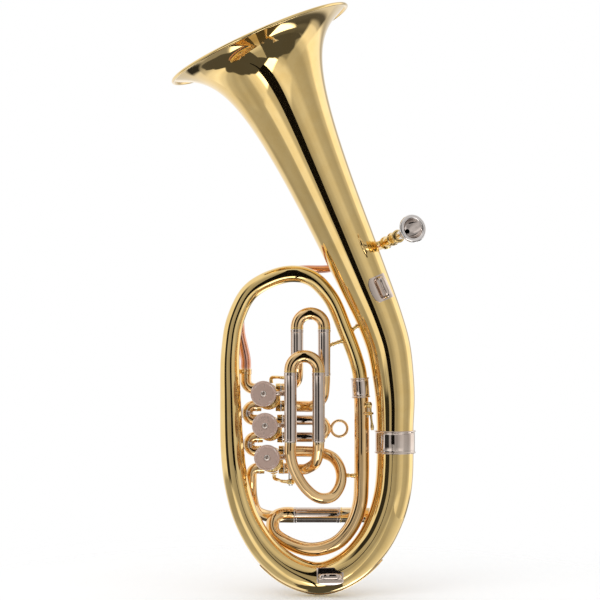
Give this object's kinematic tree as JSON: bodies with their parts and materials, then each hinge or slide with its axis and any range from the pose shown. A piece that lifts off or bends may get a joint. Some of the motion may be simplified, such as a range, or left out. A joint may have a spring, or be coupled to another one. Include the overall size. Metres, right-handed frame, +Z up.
{
  "type": "oval alto horn",
  "caption": "Upright oval alto horn with rotary valves, touch levers, draw-out tuning slides, a wide bell and a mouthpiece.",
  "frame": {"origin": "centre of the ferrule that joins the bell to the big bow, where the player's left hand holds the horn", "axes": "+Z up along the bell's stem, +X to the bell's side, away from the valves, -Y towards the side with the touchpieces"},
  "size_m": [0.2633, 0.2034, 0.6203],
  "materials": {
    "gold_brass": "clear lacquer over polished gold brass",
    "lacquered_brass": "clear lacquer over polished brass",
    "nickel_silver": "polished nickel silver",
    "steel": "ground steel"
  },
  "bodies": {
    "horn": {"bell": "lacquered_brass", "bell_rim_ring": "lacquered_brass", "main_bow": "lacquered_brass", "bell_ferrule": "nickel_silver", "return_branch": "lacquered_brass", "branch_ferrule": "nickel_silver", "valve_casing_1": "lacquered_brass", "valve_cap_1": "nickel_silver", "valve_casing_2": "lacquered_brass", "valve_cap_2": "nickel_silver", "valve_casing_3": "lacquered_brass", "valve_cap_3": "nickel_silver", "knuckle_1_to_2": "lacquered_brass", "knuckle_2_to_3": "lacquered_brass", "leadpipe": "gold_brass", "inlet_elbow": "lacquered_brass", "valve_outlet_pipe": "lacquered_brass", "tuning_sleeve_front": "nickel_silver", "tuning_sleeve_back": "nickel_silver", "slide_1_sleeve_left": "nickel_silver", "slide_1_sleeve_right": "nickel_silver", "slide_1_left_branch": "lacquered_brass", "slide_1_right_branch": "lacquered_brass", "slide_2_sleeve_upper": "nickel_silver", "slide_2_sleeve_lower": "nickel_silver", "slide_3_sleeve_left": "nickel_silver", "slide_3_sleeve_right": "nickel_silver", "slide_3_loop": "lacquered_brass", "slide_3_right_branch": "lacquered_brass", "lever_axle": "steel", "axle_bracket_top": "lacquered_brass", "axle_bracket_bottom": "lacquered_brass", "mouthpiece_receiver": "lacquered_brass", "bell_brace": "lacquered_brass", "slide_brace": "lacquered_brass", "loop_brace": "lacquered_brass", "leadpipe_brace": "lacquered_brass", "receiver_brace": "lacquered_brass", "bell_strap_fitting": "nickel_silver", "bow_strap_fitting": "nickel_silver", "bow_guard": "lacquered_brass", "water_key_seat": "lacquered_brass"},
    "lever_1": {"lever_1": "nickel_silver", "touchpiece_1": "nickel_silver"},
    "rotor_1": {"rotor_1": "lacquered_brass"},
    "link_rod_1": {"link_rod_1": "nickel_silver"},
    "lever_2": {"lever_2": "nickel_silver", "touchpiece_2": "nickel_silver"},
    "rotor_2": {"rotor_2": "lacquered_brass"},
    "link_rod_2": {"link_rod_2": "nickel_silver"},
    "lever_3": {"lever_3": "nickel_silver", "touchpiece_3": "nickel_silver"},
    "rotor_3": {"rotor_3": "lacquered_brass"},
    "link_rod_3": {"link_rod_3": "nickel_silver"},
    "tuning_slide": {"tuning_crook": "lacquered_brass"},
    "slide_1": {"slide_1_crook": "lacquered_brass"},
    "slide_2": {"slide_2_crook": "lacquered_brass"},
    "slide_3": {"slide_3_crook": "lacquered_brass"},
    "water_key": {"water_key": "lacquered_brass"},
    "mouthpiece": {"mouthpiece": "nickel_silver"}
  },
  "joints": [
    {"name": "lever_1_press", "type": "hinge", "parent": "horn", "child": "lever_1", "pos_m": [-0.1095, -0.02, 0.0517], "axis": [0, 0, -1], "range_deg": [0, 26], "stiffness_Nm_per_rad": 0.35, "springref_deg": -20.05},
    {"name": "rotor_1_turn", "type": "hinge", "parent": "horn", "child": "rotor_1", "pos_m": [-0.133, 0.015, 0.0457], "axis": [0, 1, 0], "range_deg": [0, 90]},
    {"name": "link_rod_1_pivot", "type": "hinge", "parent": "rotor_1", "child": "link_rod_1", "pos_m": [-0.13724, 0.015, 0.04994], "axis": [0, -1, 0], "range_deg": [0, 90]},
    {"name": "lever_2_press", "type": "hinge", "parent": "horn", "child": "lever_2", "pos_m": [-0.1095, -0.02, 0.0187], "axis": [0, 0, -1], "range_deg": [0, 26], "stiffness_Nm_per_rad": 0.35, "springref_deg": -20.05},
    {"name": "rotor_2_turn", "type": "hinge", "parent": "horn", "child": "rotor_2", "pos_m": [-0.1314, 0.015, 0.0127], "axis": [0, 1, 0], "range_deg": [0, 90]},
    {"name": "link_rod_2_pivot", "type": "hinge", "parent": "rotor_2", "child": "link_rod_2", "pos_m": [-0.13564, 0.015, 0.01694], "axis": [0, -1, 0], "range_deg": [0, 90]},
    {"name": "lever_3_press", "type": "hinge", "parent": "horn", "child": "lever_3", "pos_m": [-0.1095, -0.02, -0.0143], "axis": [0, 0, -1], "range_deg": [0, 26], "stiffness_Nm_per_rad": 0.35, "springref_deg": -20.05},
    {"name": "rotor_3_turn", "type": "hinge", "parent": "horn", "child": "rotor_3", "pos_m": [-0.1298, 0.015, -0.0203], "axis": [0, 1, 0], "range_deg": [0, 90]},
    {"name": "link_rod_3_pivot", "type": "hinge", "parent": "rotor_3", "child": "link_rod_3", "pos_m": [-0.13404, 0.015, -0.01606], "axis": [0, -1, 0], "range_deg": [0, 90]},
    {"name": "tuning_slide_draw", "type": "slide", "parent": "horn", "child": "tuning_slide", "axis": [1, 0, 0], "range_m": [0, 0.035]},
    {"name": "slide_1_draw", "type": "slide", "parent": "horn", "child": "slide_1", "axis": [0, 0, 1], "range_m": [0, 0.024]},
    {"name": "slide_2_draw", "type": "slide", "parent": "horn", "child": "slide_2", "axis": [1, 0, 0], "range_m": [0, 0.022]},
    {"name": "slide_3_draw", "type": "slide", "parent": "horn", "child": "slide_3", "axis": [0, 0, 1], "range_m": [0, 0.06]},
    {"name": "mouthpiece_draw", "type": "slide", "parent": "horn", "child": "mouthpiece", "axis": [0.348, -0.92, 0.18], "range_m": [0, 0.024]},
    {"name": "water_key_lift", "type": "hinge", "parent": "horn", "child": "water_key", "pos_m": [-0.02652, -0.00877, 0.02999], "axis": [-0.6919, -0.722, 0], "range_deg": [-18, 0], "stiffness_Nm_per_rad": 0.02, "springref_deg": 17.19}
  ],
  "couplings": [
    {"joint": "rotor_1_turn", "follows": "lever_1_press", "ratio": 3.46},
    {"joint": "link_rod_1_pivot", "follows": "lever_1_press", "ratio": 3.46},
    {"joint": "rotor_2_turn", "follows": "lever_2_press", "ratio": 3.46},
    {"joint": "link_rod_2_pivot", "follows": "lever_2_press", "ratio": 3.46},
    {"joint": "rotor_3_turn", "follows": "lever_3_press", "ratio": 3.46},
    {"joint": "link_rod_3_pivot", "follows": "lever_3_press", "ratio": 3.46}
  ]
}
